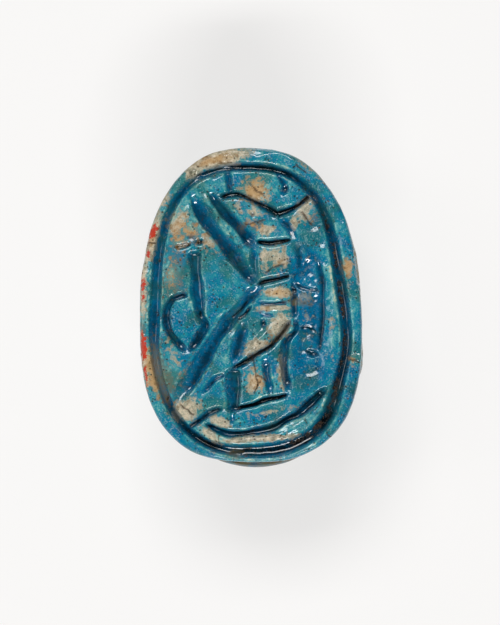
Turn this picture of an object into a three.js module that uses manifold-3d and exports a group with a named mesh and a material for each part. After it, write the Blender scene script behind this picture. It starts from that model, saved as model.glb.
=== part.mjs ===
// Scarab amulet: a beetle with an engraved, egg-shaped base, lying on its back.
// Millimetres. +Z points out of the engraved base, +Y to the beetle's tail and
// the top of the engraved picture, +X to the picture's right. The beetle's back
// touches z = 0 on a small flat spot.
import * as THREE from "three";
import { mergeVertices } from "three/addons/utils/BufferGeometryUtils.js";
import Module from "manifold-3d";

const wasm = await Module();
wasm.setup();

// Driving dimensions
const HEIGHT = 7.4; // back to engraved base
const HALF_WIDTH = 6.0; // of the base plate
const WIDEST_Y = -1.1; // where the base plate is widest
const TAIL_REACH = 9.75; // from the widest line to the tail
const HEAD_REACH = 7.22; // from the widest line to the head end
const HEAD_TIP_Y = -8.64;

// Outlines. The rounds are superellipse powers; lean is how far the outline drifts to
// +X for each mm towards the tail.
const base = {
  halfWidth: HALF_WIDTH,
  tail: TAIL_REACH,
  head: HEAD_REACH,
  tailRound: 2.4,
  headRound: 2.6,
  shift: -0.029,
  lean: -0.01,
};
const border = {
  halfWidth: HALF_WIDTH - 0.8,
  tail: TAIL_REACH - 0.98,
  head: HEAD_REACH - 0.65,
  tailRound: 2.6,
  headRound: 2.6,
  shift: 0,
  lean: -0.02,
};
const BORDER_WIDE = 0.54;
const BORDER_DEEP = 0.42;
// Where the border line wanders inwards: angle round the egg, spread and distance
const BORDER_PULLS = [[0.7, 0.42, 0.4], [5.72, 0.32, 0.34]];

const RIM_ROUND = 0.22;
const PLATE_UNDER = HEIGHT - 1.15; // where the plate ends and the beetle's legs begin
const DOME_START = 4.0; // height at which the beetle's back begins to close
const DOME_INSET = 0.62;
const FLANK_INSET = 0.4;
const NECK_SETBACK = 1.7; // how much earlier than the plate the body ends, for the head
const DOME_ROUND = 2.15;
const CROWN_Y = 0.1;
const FLAT_SPOT = 0.2; // share of the back's outline that is flattened to lie on
const STRING_HOLE = 1.5;

const AROUND = 66; // sides of a ring of the body
const DOME_RINGS = 10;

// Points and closed meshes
const degrees = THREE.MathUtils.degToRad;

// A point of an egg-shaped outline, whose two halves are superellipses.
function eggPoint(egg, angle, inset = 0) {
  const towardsTail = Math.sin(angle) >= 0;
  const long = (towardsTail ? egg.tail : egg.head) - inset;
  const power = towardsTail ? egg.tailRound : egg.headRound;
  const across = Math.abs(Math.cos(angle)) / (egg.halfWidth - inset);
  const along = Math.abs(Math.sin(angle)) / long;
  const reach = (across ** power + along ** power) ** (-1 / power);
  const y = reach * Math.sin(angle);
  return new THREE.Vector2(egg.shift + reach * Math.cos(angle) + egg.lean * y, WIDEST_Y + y);
}

const body = { ...base, head: HEAD_REACH - NECK_SETBACK };

// A point of the beetle's back: share is 0 at the crown and 1 at its edge.
function backPoint(angle, share, lift = 0) {
  const edge = eggPoint(body, angle, DOME_INSET);
  const rise = (s) => DOME_START * (1 - (1 - Math.min(1, s) ** DOME_ROUND) ** (1 / DOME_ROUND));
  const z = Math.max(0, rise(share) - rise(FLAT_SPOT));
  return new THREE.Vector3(edge.x * share, CROWN_Y + (edge.y - CROWN_Y) * share, z - lift);
}

function toManifold(geometry) {
  const bare = geometry.index ? geometry.toNonIndexed() : geometry.clone();
  for (const name of Object.keys(bare.attributes)) {
    if (name !== "position") bare.deleteAttribute(name);
  }
  const merged = mergeVertices(bare, 1e-4);
  const mesh = new wasm.Mesh({
    numProp: 3,
    vertProperties: new Float32Array(merged.attributes.position.array),
    triVerts: new Uint32Array(merged.index.array),
  });
  return new wasm.Manifold(mesh);
}

function toGeometry(solid) {
  const mesh = solid.getMesh();
  const geometry = new THREE.BufferGeometry();
  geometry.setAttribute("position", new THREE.BufferAttribute(mesh.vertProperties, 3));
  geometry.setIndex(new THREE.BufferAttribute(mesh.triVerts, 1));
  geometry.computeVertexNormals();
  return geometry;
}

// Closed skin through rings of equal point count, capped at both ends.
function loft(rings) {
  const count = rings[0].length;
  const positions = [];
  const triangle = (a, b, c) => positions.push(...a.toArray(), ...b.toArray(), ...c.toArray());
  for (let r = 0; r + 1 < rings.length; r += 1) {
    for (let i = 0; i < count; i += 1) {
      const j = (i + 1) % count;
      triangle(rings[r][i], rings[r + 1][i], rings[r + 1][j]);
      triangle(rings[r][i], rings[r + 1][j], rings[r][j]);
    }
  }
  const middle = (ring) => ring.reduce((sum, p) => sum.add(p), new THREE.Vector3()).divideScalar(count);
  const first = rings[0];
  const last = rings[rings.length - 1];
  for (let i = 0; i < count; i += 1) {
    const j = (i + 1) % count;
    triangle(middle(first), first[i], first[j]);
    triangle(middle(last), last[j], last[i]);
  }
  const geometry = new THREE.BufferGeometry();
  geometry.setAttribute("position", new THREE.Float32BufferAttribute(positions, 3));
  return geometry;
}

// A round bar along a smooth path through the given points.
function bar(points, radius, steps = 8, sides = 8) {
  const section = new THREE.Shape();
  for (let i = 0; i < sides; i += 1) {
    const angle = (2 * Math.PI * (i + 0.5)) / sides;
    const x = radius * Math.cos(angle);
    const y = radius * Math.sin(angle);
    if (i === 0) section.moveTo(x, y);
    else section.lineTo(x, y);
  }
  const path = new THREE.CatmullRomCurve3(points);
  return toManifold(new THREE.ExtrudeGeometry(section, { steps, extrudePath: path, bevelEnabled: false }));
}

function pebble(x, y, z, rx, ry, rz, turn = 0, sides = 14) {
  const geometry = new THREE.SphereGeometry(1, sides, Math.round(0.55 * sides));
  geometry.scale(rx, ry, rz);
  geometry.rotateZ(turn);
  geometry.translate(x, y, z);
  return toManifold(geometry);
}

const joined = (solids) => solids.reduce((sum, solid) => sum.add(solid));

// The beetle
function beetleBody() {
  const ring = (egg, z, inset) =>
    Array.from({ length: AROUND }, (_, i) => {
      const p = eggPoint(egg, (2 * Math.PI * i) / AROUND, inset);
      return new THREE.Vector3(p.x, p.y, z);
    });
  const rings = [
    ring(base, HEIGHT, RIM_ROUND),
    ring(base, HEIGHT - 0.4 * RIM_ROUND, 0.3 * RIM_ROUND),
    ring(base, HEIGHT - 1.3 * RIM_ROUND, 0),
    ring(base, PLATE_UNDER + 0.12, 0),
    ring(base, PLATE_UNDER, 0.12),
    ring(body, PLATE_UNDER - 0.12, FLANK_INSET + 0.15),
    ring(body, PLATE_UNDER - 0.4, FLANK_INSET),
  ];
  for (let r = 0; r <= DOME_RINGS; r += 1) {
    const share = 1 - (1 - FLAT_SPOT) * (r / DOME_RINGS) ** 1.35;
    rings.push(
      Array.from({ length: AROUND }, (_, i) => backPoint((2 * Math.PI * i) / AROUND, share)),
    );
  }
  return toManifold(loft(rings));
}

// Head with its eyes, and the notched shovel that shows past the base plate's edge.
function beetleHead() {
  const shovelY = HEAD_TIP_Y + 1.45;
  const shovel = pebble(0.1, shovelY, 5.75, 3.3, 1.45, 0.72);
  const head = pebble(0, -6.35, 4.85, 2.05, 1.6, 1.55);
  const eyes = [-1, 1].map((side) => pebble(side * 1.95, -6.35, 5.0, 0.6, 0.8, 0.75, 0, 10));
  const notches = [-0.9, 0, 0.9].map((x) => pebble(0.1 + x, HEAD_TIP_Y, 5.1, 0.16, 0.7, 0.4, 0, 8));
  return joined([shovel, head, ...eyes]).subtract(joined(notches));
}

// Three legs on each side, folded along the flank from the body to the plate:
// [angle round the body, height, inset] where each leaves the body, bends and ends.
function beetleLegs() {
  const folds = [
    [[-38, 4.0, 2.0], [-46, 4.9, 0.55], [-60, 5.75, 0.55], [-72, 5.95, 0.9]],
    [[-34, 5.95, 0.7], [-20, 5.35, 0.38], [-2, 4.4, 0.55], [6, 3.8, 1.6]],
    [[10, 3.9, 1.6], [22, 4.6, 0.5], [42, 5.5, 0.42], [64, 5.95, 0.7]],
  ];
  const legRadius = 0.5;
  const legs = [];
  for (const side of [0, 1]) {
    for (const fold of folds) {
      const points = fold.map(([angle, z, inset]) => {
        const p = eggPoint(base, degrees(side ? 180 - angle : angle), inset);
        return new THREE.Vector3(p.x, p.y, z);
      });
      legs.push(bar(points, legRadius, 9, 7));
    }
  }
  return joined(legs);
}

// Lines on the back: neck shield, the parting of the wing cases and shoulder nicks.
function backLines() {
  const shieldY = -2.5;
  const onShieldLine = (angle) => {
    const edge = eggPoint(body, degrees(angle), DOME_INSET);
    const share = (shieldY - CROWN_Y) / (edge.y - CROWN_Y);
    return backPoint(degrees(angle), Math.min(1.02, share));
  };
  const shield = [-29, -38, -60, -90, -120, -142, -151].map(onShieldLine);
  const parting = [1.02, 0.94, 0.7, 0.4, 0.1].map((share) => backPoint(Math.PI / 2, share));
  parting.push(backPoint(-Math.PI / 2, 0.2), onShieldLine(-90));
  const nicks = [-28, -152].map((angle) => {
    const at = onShieldLine(angle);
    return pebble(at.x, at.y, at.z, 0.42, 0.36, 0.7, 0, 8);
  });
  return joined([bar(shield, 0.2, 14, 6), bar(parting, 0.16, 14, 6), ...nicks]);
}

function stringHole() {
  const hole = new THREE.CylinderGeometry(STRING_HOLE / 2, STRING_HOLE / 2, 4 * TAIL_REACH, 12);
  hole.translate(0, 0, DOME_START + 0.1);
  return toManifold(hole);
}

// The engraving
const FLOOR_HALF = 0.3; // half-width of a cut's floor, as a share of the cut's
const ABOVE = 0.12; // how far a cutter stands out of the base
const BEND_STEP = 0.95; // mm between the sections of a bending cut

// A gouge cut in the base along a smooth line through the places, running out to a
// point at both ends. Wide may be one width or those of its two ends, and lean moves
// its deepest line to the left of its way.
function stroke(places, wide, deep, lean = 0) {
  const line = new THREE.SplineCurve(places.map(([x, y]) => new THREE.Vector2(x, y)));
  const [first, last] = Array.isArray(wide) ? wide : [wide, wide];
  const length = line.getLength();
  const runOut = Math.min(0.35, Math.max(first, last) / (2 * length));
  const bends = places.length > 2 ? Math.max(1, Math.round(length / BEND_STEP) - 1) : 0;
  const between = Array.from({ length: bends }, (_, i) => (i + 1) / (bends + 1));
  const middles = between.map((share) => runOut + (1 - 2 * runOut) * share);
  const stops = [0, 0.35 * runOut, runOut, ...middles, 1 - runOut, 1 - 0.35 * runOut, 1];
  const rings = stops.map((t) => {
    const toEnd = Math.min(1, Math.min(t, 1 - t) / runOut);
    const full = 0.12 + 0.88 * Math.sqrt(toEnd * (2 - toEnd));
    const half = (full * THREE.MathUtils.lerp(first, last, t)) / 2;
    const middle = line.getPointAt(t);
    const way = line.getTangentAt(t);
    const at = (side, z) =>
      new THREE.Vector3(middle.x - way.y * side * half, middle.y + way.x * side * half, z);
    const bottom = HEIGHT - full * deep;
    return [
      at(-1, HEIGHT + ABOVE),
      at(1, HEIGHT + ABOVE),
      at(1, HEIGHT),
      at(lean + FLOOR_HALF, bottom),
      at(lean - FLOOR_HALF, bottom),
      at(-1, HEIGHT),
    ];
  });
  return toManifold(loft(rings));
}

// A drilled pit.
function pit(x, y, wide, long, deep) {
  return pebble(x, y, HEIGHT, wide / 2, long / 2, deep, 0, 8);
}

class EggCurve extends THREE.Curve {
  getPoint(t) {
    const angle = 2 * Math.PI * t;
    const p = eggPoint(border, angle);
    let pull = 0;
    for (const [middle, spread, by] of BORDER_PULLS) {
      const off = 2 * Math.sin((angle - middle) / 2) / spread;
      pull += by * Math.exp(-off * off);
    }
    const x = p.x - pull * Math.cos(angle);
    const y = p.y - pull * Math.sin(angle);
    return new THREE.Vector3(x, y, HEIGHT - BORDER_DEEP + BORDER_WIDE / 2);
  }
}

function borderGroove() {
  return toManifold(new THREE.TubeGeometry(new EggCurve(), AROUND, BORDER_WIDE / 2, 8, true));
}

// Heart-and-windpipe sign at the left: a stem with a short bar, and a drop.
function emblem() {
  const tip = [-3.4, -2.4];
  const stem = [[-3.06, 3.05], [-2.96, 1.5], [-2.76, -0.2], [-2.53, -0.93], [-2.85, -1.64], tip];
  const drop = [[-3.3, 0.7], [-3.75, 0.68], [-4.3, 0.42], [-4.6, -0.22], [-4.5, -1.07], [-4.1, -1.78], tip];
  return [
    stroke([[-4.05, 3.27], [-3.34, 3.39]], 0.24, 0.18),
    stroke([[-3.0, 3.48], [-2.45, 3.63]], 0.32, 0.28),
    stroke(stem, [0.7, 0.44], 0.32),
    stroke(drop, [0.38, 0.48], 0.3, 0.25),
  ];
}

// The figure's two wings, spread towards the sign from one root.
function wings() {
  const root = [0.4, 1.25];
  const upper = [[-3.2, 6.12], [-2.78, 5.35], [-1.9, 4.1], [-0.86, 2.78], root];
  const second = [[-2.25, 6.25], [-1.42, 5.25], [-0.48, 4.16], [0.42, 3.15]];
  const lowerRoot = [[0.6, 1.3], [-0.2, 0.5], [-1.2, -0.7]];
  const lower = [...lowerRoot, [-2.03, -1.85], [-2.63, -2.8], [-3.23, -3.85], [-4.05, -4.85]];
  return [
    stroke(upper, [0.78, 0.76], 0.42, -0.5),
    stroke(second, [0.5, 0.68], 0.38, -0.45),
    stroke([[0.12, 3.3], [0.3, 1.5]], 0.42, 0.2),
    stroke(lower, [0.58, 0.88], 0.34, 0.35),
    stroke([[0.0, 0.1], [-0.8, -0.75]], 0.32, 0.28),
    stroke([[-0.33, -0.6], [-1.0, -3.3]], 0.7, 0.2),
    stroke([[-1.35, -3.58], [-2.0, -3.88], [-2.62, -4.6]], 0.34, 0.2, 0.3),
    stroke([[-1.5, -5.38], [-2.35, -5.72], [-3.5, -6.42]], 0.36, 0.3),
  ];
}

// Flat crown over the head, its wavy lower edge, and the line of the neck.
function headDress() {
  const corner = [1.42, 5.06];
  const left = [[-1.8, 6.0], [-0.75, 6.1], [0.16, 5.8], [0.75, 5.46], corner];
  return [
    stroke(left, [0.34, 0.42], 0.4, 0.2),
    stroke([corner, [2.14, 5.31], [2.8, 5.72], [3.3, 6.2]], [0.42, 0.34], 0.4, 0.2),
    pit(corner[0], corner[1], 0.46, 0.42, 0.4),
    stroke([[-1.33, 7.4], [-1.05, 6.1]], 0.42, 0.26),
    stroke([[1.25, 7.5], [1.86, 6.5], [1.6, 6.0]], [0.26, 0.4], 0.24),
    stroke([[1.5, 4.95], [2.4, 3.7]], 0.5, 0.18),
    stroke([[0.15, 3.56], [1.2, 3.5], [2.2, 3.68]], [0.36, 0.3], 0.4),
  ];
}

// Belt, kilt, legs and the line they stand on.
function bodyAndLegs() {
  const hem = [[-1.1, -3.35], [-0.33, -2.92], [0.38, -2.46], [1.15, -1.97], [1.75, -1.3], [2.15, -0.6]];
  const backLeg = [[2.35, -0.5], [2.38, -1.2], [1.8, -2.05], [1.78, -3.2], [2.08, -4.5]];
  return [
    stroke([[0.25, 1.22], [0.88, 1.48], [2.2, 1.68]], 0.3, 0.36),
    stroke([[2.1, 1.42], [2.8, 1.08], [3.75, 1.0]], [0.4, 0.3], 0.26),
    stroke([[0.38, 0.24], [2.0, 0.27]], 0.26, 0.18),
    stroke([[0.45, -0.42], [1.31, -0.44]], 0.28, 0.12),
    pit(0.65, -0.85, 0.4, 0.56, 0.24),
    stroke([[2.26, 1.45], [2.35, -0.7]], 0.34, 0.28),
    stroke(hem, [0.36, 0.3], 0.36, 0.2),
    stroke([[-0.97, -3.15], [-0.99, -5.65]], 0.74, 0.4, 0.45),
    stroke([[-0.98, -5.5], [-1.02, -6.3]], 0.32, 0.18),
    stroke([[0.72, -2.7], [1.12, -4.75]], 0.46, 0.22),
    stroke(backLeg, [0.36, 0.56], 0.36),
    stroke([[-0.85, -5.43], [0.16, -5.2], [2.05, -4.66]], 0.32, 0.38),
  ];
}

// The basket under the figure.
function basket() {
  const left = [[-2.5, -6.22], [-1.7, -6.66], [-0.66, -6.8]];
  const right = [[0.38, -6.64], [1.42, -6.3], [2.52, -5.69], [3.29, -5.04], [4.05, -4.3]];
  return [stroke([...left, ...right], [0.38, 0.56], 0.4)];
}

// The sunk strip behind the figure.
function backStrip() {
  return [
    stroke([[3.1, 4.3], [3.1, 1.3]], 1.1, 0.18),
    stroke([[3.0, 0.4], [2.95, -3.0]], 1.0, 0.18),
    stroke([[3.55, 2.6], [3.82, 1.3], [3.78, -0.6], [3.62, -2.4]], [0.36, 0.44], 0.3, 0.4),
    stroke([[2.55, -1.12], [3.05, -1.05], [3.6, -1.4]], 0.3, 0.28),
    stroke([[2.75, -2.3], [3.2, -2.35], [3.75, -2.6]], 0.4, 0.3),
  ];
}

const engraving = joined([
  borderGroove(),
  ...emblem(),
  ...wings(),
  ...headDress(),
  ...bodyAndLegs(),
  ...basket(),
  ...backStrip(),
]);

const scarabSolid = joined([beetleBody(), beetleHead(), beetleLegs()])
  .subtract(backLines())
  .subtract(stringHole())
  .subtract(engraving);

const glazedStone = new THREE.MeshStandardMaterial({ color: 0x3f8fa8, roughness: 0.35, metalness: 0 });
const scarab = new THREE.Mesh(toGeometry(scarabSolid), glazedStone);
scarab.name = "scarab";

const amulet = new THREE.Group();
amulet.add(scarab);

export default amulet;
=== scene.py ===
# Scarab amulet of glazed stone, lying on its back with the engraved base upwards.
# Lengths in the carver's functions are millimetres at the amulet's design length;
# `metre_per_mm` brings them to the frame's own size.
import math

import bpy
import numpy as np
from mathutils import Matrix, Vector


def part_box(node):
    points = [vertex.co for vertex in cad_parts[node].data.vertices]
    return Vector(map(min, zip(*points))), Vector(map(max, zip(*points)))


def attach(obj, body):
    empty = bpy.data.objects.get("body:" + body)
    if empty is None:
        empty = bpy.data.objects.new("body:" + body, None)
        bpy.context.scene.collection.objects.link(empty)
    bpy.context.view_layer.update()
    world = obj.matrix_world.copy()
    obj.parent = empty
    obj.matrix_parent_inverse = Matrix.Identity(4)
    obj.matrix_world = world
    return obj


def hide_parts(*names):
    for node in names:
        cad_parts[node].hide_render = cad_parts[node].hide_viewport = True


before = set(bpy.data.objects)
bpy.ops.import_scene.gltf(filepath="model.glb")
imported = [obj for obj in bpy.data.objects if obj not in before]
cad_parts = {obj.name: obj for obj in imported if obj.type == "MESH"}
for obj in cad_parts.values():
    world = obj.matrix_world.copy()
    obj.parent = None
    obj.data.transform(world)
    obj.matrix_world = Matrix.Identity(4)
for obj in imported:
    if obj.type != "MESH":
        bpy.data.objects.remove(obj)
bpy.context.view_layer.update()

# The amulet's design sizes. The rounds are superellipse powers, and lean is how far an
# outline drifts to +X for each mm towards the tail.
DESIGN_LENGTH = 17.28
HEIGHT = 7.4
WIDEST_Y = -1.1
BASE = dict(half_width=6.0, tail=9.75, head=7.22, tail_round=2.4, head_round=2.6, shift=-0.029, lean=-0.01)
NECK_SETBACK = 1.7
BODY = dict(BASE, head=BASE["head"] - NECK_SETBACK)
BORDER = dict(half_width=5.2, tail=8.77, head=6.57, tail_round=2.6, head_round=2.6, shift=0.0, lean=-0.02)
BORDER_PULLS = [(0.7, 0.42, 0.4), (5.72, 0.32, 0.34)]  # angle round the egg, spread, distance inwards
BORDER_WIDE = 0.54
BORDER_DEEP = 0.45
WIDE_CUT = 0.45  # past this width the dark glaze and painted shade stand only on a cut's walls
FIELD_SUNK = 0.08  # how much lower the field lies than the rim
RIM_ROUND = 0.24
PLATE_UNDER = HEIGHT - 1.15
FLANK_INSET = 0.4
DOME_START = 4.0
DOME_INSET = 0.62
DOME_ROUND = 2.15
CROWN_Y = 0.1
FLAT_SPOT = 0.2
SHIELD_Y = -2.5  # where the neck shield meets the wing cases
HEAD_TIP_Y = -8.64
SHOVEL_REACH = 1.45
LEG_RADIUS = 0.5
STRING_HOLE = 1.5
STRING_HOLE_Z = DOME_START + 0.1

low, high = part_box("scarab")
metre_per_mm = (high[1] - low[1]) / DESIGN_LENGTH

FACE_CELLS = 248  # cells across the engraved face
RIM_RINGS = 6
SIDE_RINGS = 6
FLANK_LEVELS = 24
CROWN_LEVELS = 14


# --- Outlines ---------------------------------------------------------------
def egg_point(egg, angle, inset=0.0):
    """A point of an egg-shaped outline whose two halves are superellipses."""
    tailwards = np.sin(angle) >= 0
    long = np.where(tailwards, egg["tail"], egg["head"]) - inset
    power = np.where(tailwards, egg["tail_round"], egg["head_round"])
    across = np.abs(np.cos(angle)) / (egg["half_width"] - inset)
    along = np.abs(np.sin(angle)) / long
    reach = (across**power + along**power) ** (-1 / power)
    y = reach * np.sin(angle)
    return egg["shift"] + reach * np.cos(angle) + egg["lean"] * y, WIDEST_Y + y


def smooth(low_end, high_end, value):
    t = np.clip((value - low_end) / (high_end - low_end), 0, 1)
    return t * t * (3 - 2 * t)


def ripple(x, y, z, size, seed):
    """Soft, repeatable unevenness between -1 and 1, about `size` mm from swell to swell."""
    rng = np.random.default_rng(seed)
    total = np.zeros_like(x)
    for _ in range(14):
        way = rng.normal(size=3)
        way *= rng.uniform(0.6, 1.5) * 2 * math.pi / size / np.linalg.norm(way)
        total += np.sin(way[0] * x + way[1] * y + way[2] * z + rng.uniform(0, 2 * math.pi))
    return total / 6.0


def face_ripple(x, y, size, seed):
    """The same unevenness over the flat face."""
    return ripple(x, y, np.zeros_like(x), size, seed)


# --- The engraving ----------------------------------------------------------
def cut(points, wide, deep, ink=0.3, lean=0.0, ends=(1.0, 1.0)):
    """One gouge cut along a smooth line through the points. Wide may be one width or
    those of its two ends. After the depth comes how dark the cut is painted: dark glaze, and
    in part painted shade. Lean moves its deepest line to the left of its way, and an end of 0 stops square."""
    first, last = wide if isinstance(wide, tuple) else (wide, wide)
    return dict(points=points, first=first, last=last, deep=deep, ink=ink, lean=lean, ends=ends)


def pit(x, y, wide, long, deep, ink=0.3):
    """One touch of a pointed drill, longer or wider where it was rocked."""
    return dict(x=x, y=y, wide=wide, long=long, deep=deep, ink=ink)


def emblem():
    """Heart-and-windpipe sign at the left: a stem with a short bar, and a drop."""
    tip = (-3.4, -2.4)
    stem = [(-3.06, 3.05), (-2.96, 1.5), (-2.76, -0.2), (-2.53, -0.93), (-2.85, -1.64), tip]
    drop = [(-3.3, 0.7), (-3.75, 0.68), (-4.3, 0.42), (-4.6, -0.22), (-4.5, -1.07), (-4.1, -1.78), tip]
    return [
        cut([(-4.2, 3.27), (-3.2, 3.42)], 0.24, 0.2, 1.5),
        cut([(-3.1, 3.48), (-2.45, 3.66)], 0.34, 0.28, 1.5),
        cut(stem, (0.78, 0.48), 0.34, 0.5, 0.15, (0.2, 1)),
        cut(drop, (0.4, 0.52), 0.32, 0.8, 0.35),
    ]


def wings():
    """The figure's two wings, spread towards the sign from one root."""
    root = (0.4, 1.25)
    upper = [(-3.2, 6.12), (-2.78, 5.35), (-1.9, 4.1), (-0.86, 2.78), root]
    second = [(-2.25, 6.25), (-1.42, 5.25), (-0.48, 4.16), (0.42, 3.15)]
    lower = [(0.6, 1.3), (-0.2, 0.5), (-1.2, -0.7), (-2.03, -1.85)]
    lower += [(-2.63, -2.8), (-3.23, -3.85), (-4.05, -4.85)]
    return [
        cut(upper, (0.8, 0.8), 0.44, 0.45, -0.6),
        cut(second, (0.55, 0.72), 0.4, 0.7, -0.5),
        cut([(0.1, 3.3), (0.12, 2.5), (0.3, 1.5)], 0.42, 0.2, 0.1),
        cut(lower, (0.62, 0.95), 0.36, 0.05, 0.35),
        cut([(-0.16, 0.38), (-0.6, -0.1), (-1.09, -0.55)], 0.26, 0.24, 0.7, 0.0, (0.6, 0.4)),
        cut([(0.0, 0.1), (-0.4, -0.35), (-0.8, -0.75)], 0.3, 0.3, 0.7),
        cut([(-0.33, -0.6), (-0.65, -1.9), (-1.0, -3.3)], 0.72, 0.2, 0.05),
        cut([(-1.35, -3.58), (-2.0, -3.88), (-2.62, -4.6)], 0.34, 0.2, 0.15, 0.4),
        cut([(-1.5, -5.38), (-2.35, -5.72), (-3.0, -6.2), (-3.5, -6.42)], 0.36, 0.3, 0.7, 0.2),
    ]


def head_dress():
    """Flat crown over the head, its wavy lower edge, and the line of the neck."""
    corner = (1.42, 5.06)
    left_wave = [(-1.8, 6.0), (-0.75, 6.1), (0.16, 5.8), (0.75, 5.46), corner]
    right_wave = [corner, (2.14, 5.31), (2.8, 5.72), (3.3, 6.2)]
    return [
        cut(left_wave, (0.34, 0.4), 0.4, 0.85, 0.2, (1, 0)),
        cut(right_wave, (0.4, 0.34), 0.4, 0.85, 0.2, (0, 1)),
        cut([(-1.33, 7.4), (-1.2, 6.8), (-1.05, 6.1)], 0.42, 0.26, 0.15, 0.2, (0.3, 0.3)),
        cut([(1.25, 7.5), (1.55, 7.05), (1.86, 6.5), (1.6, 6.0)], (0.26, 0.4), 0.2, 0.2),
        cut([(1.5, 4.95), (2.0, 4.35), (2.4, 3.7)], 0.5, 0.18, 0.1),
        cut([(0.15, 3.56), (1.2, 3.5), (2.2, 3.68)], (0.36, 0.3), 0.4, 0.95),
    ]


def body_and_legs():
    """The figure's body, its bent knees over the hem, and its legs."""
    hem = [(-1.1, -3.35), (-0.33, -2.92), (0.38, -2.46), (1.15, -1.97), (1.75, -1.3), (2.15, -0.6)]
    back = [(2.35, -0.5), (2.38, -1.2), (1.8, -2.05), (1.78, -3.2), (2.08, -4.5)]
    return [
        cut([(0.25, 1.22), (0.88, 1.48), (2.08, 1.68)], 0.3, 0.36, 0.9, -0.2, (1, 0.3)),
        cut([(2.2, 1.4), (2.8, 1.08), (3.75, 1.0)], (0.4, 0.3), 0.26, 0.4),
        cut([(0.38, 0.24), (1.1, 0.2), (2.0, 0.27)], 0.26, 0.18, 0.4),
        cut([(0.45, -0.42), (1.31, -0.44)], 0.28, 0.12, 0.1),
        cut([(2.26, 1.4), (2.33, 0.4), (2.35, -0.6)], 0.34, 0.28, 0.45),
        cut(hem, (0.36, 0.3), 0.36, 0.85, 0.2),
        cut([(-1.0, -3.2), (-0.98, -4.4), (-1.02, -5.65)], 0.8, 0.42, 0.4, 0.5, (0.3, 0.3)),
        cut([(-0.98, -5.6), (-1.02, -6.3)], 0.3, 0.18, 0.0),
        cut([(0.72, -2.7), (0.88, -3.7), (1.12, -4.75)], 0.5, 0.26, 0.35),
        cut(back, (0.36, 0.56), 0.36, 0.45),
        cut([(-0.8, -5.42), (0.16, -5.2), (1.0, -4.93), (2.05, -4.66)], 0.32, 0.38, 0.9, -0.1, (0.2, 1)),
    ]


def basket():
    """The basket's bowl, in one sweep under the figure."""
    left = [(-2.5, -6.22), (-1.7, -6.66), (-0.66, -6.8)]
    right = [(0.38, -6.64), (1.42, -6.3), (2.52, -5.69), (3.29, -5.04), (4.05, -4.3)]
    return [cut(left + right, (0.38, 0.58), 0.42, 1.0, -0.1)]


def back_strip():
    """The sunk strip behind the figure."""
    return [
        cut([(3.55, 2.6), (3.82, 1.3), (3.78, -0.6), (3.62, -2.4)], (0.34, 0.42), 0.3, 0.3, 0.5),
        cut([(2.5, 3.7), (2.62, 2.7), (2.55, 1.8)], 0.5, 0.14, 0.1),
        cut([(2.55, -1.12), (3.05, -1.05), (3.6, -1.4)], 0.26, 0.2, 0.5),
        cut([(2.75, -2.3), (3.2, -2.35), (3.75, -2.6)], 0.4, 0.24, 0.4),
    ]


CUTS = emblem() + wings() + head_dress() + body_and_legs() + basket() + back_strip()
PITS = [  # middle, width, length, depth, darkness (dark glaze and painted shade)
    pit(0.65, -0.82, 0.34, 0.5, 0.22, 0.7),
    pit(1.86, 6.46, 0.42, 0.42, 0.26, 0.6),
    pit(-3.2, 3.8, 0.5, 0.4, 0.08, 0.6),
    pit(-2.72, -0.3, 0.34, 0.6, 0.26, 0.7),
    pit(0.1, 5.0, 0.26, 0.26, 0.12, 0.5),
    pit(3.31, -2.46, 0.6, 0.5, 0.26, 0.3),
    pit(2.3, 0.95, 0.4, 0.4, 0.3, 0.7),
]
RIDGES = [  # forms left standing: line, width, height
    cut([(-2.65, 6.15), (-1.15, 4.3), (0.2, 2.65)], (0.36, 0.5), 0.12),
    cut([(-3.6, 5.6), (-2.4, 4.0), (-1.25, 2.45), (0.1, 0.95)], 0.26, 0.07),
    cut([(-1.75, 5.95), (-0.5, 4.6), (0.3, 3.8)], 0.3, 0.06),
    cut([(-1.5, -0.3), (-2.2, -1.3), (-3.3, -3.0), (-4.1, -4.3)], 0.26, 0.07),
    cut([(-0.55, -1.0), (-1.3, -2.1), (-2.4, -3.6)], 0.3, 0.06),
    cut([(0.8, 3.0), (0.85, 2.1)], 0.5, 0.06),
    cut([(1.75, 3.1), (1.7, 2.0)], 0.6, 0.08),
    cut([(0.95, 0.8), (1.85, 0.78)], 0.75, 0.14),
    cut([(0.7, -0.02), (1.9, 0.0)], 0.36, 0.07),
    cut([(-0.5, -2.45), (0.5, -1.8), (1.7, -0.75)], (0.5, 0.9), 0.13),
    cut([(-3.55, 0.1), (-3.5, -1.5)], (1.1, 0.6), 0.07),
    cut([(1.5, -2.9), (1.55, -4.3)], 0.4, 0.08),
    cut([(-2.3, -6.8), (-0.6, -7.25), (1.4, -6.98), (3.0, -6.05), (4.2, -4.9)], 0.42, 0.07),
    cut([(-3.7, -5.2), (-3.2, -5.75)], 0.7, 0.08),
    cut([(2.7, 0.62), (3.1, 0.52)], 0.85, 0.16),
    cut([(2.95, -0.5), (3.15, -0.65)], 0.8, 0.14),
    cut([(2.95, -1.6), (3.15, -1.8)], 0.75, 0.16),
    cut([(2.7, 3.3), (3.2, 2.5)], 0.6, 0.08),
    cut([(4.35, 4.4), (4.55, 1.0), (4.4, -2.6)], 0.4, 0.06),
]


def spline(points, per_span=10):
    """Smooth line through the points, as an array."""
    p = np.array(points, float)
    if len(p) == 2:
        return p
    p = np.vstack([2 * p[0] - p[1], p, 2 * p[-1] - p[-2]])
    t = np.linspace(0, 1, per_span, endpoint=False)[:, None]
    rows = []
    for a, b, c, d in zip(p, p[1:], p[2:], p[3:]):
        bend = (2 * a - 5 * b + 4 * c - d) * t**2 + (3 * b - a - 3 * c + d) * t**3
        rows.append(0.5 * (2 * b + (c - a) * t + bend))
    return np.vstack(rows + [p[-2][None]])


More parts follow.
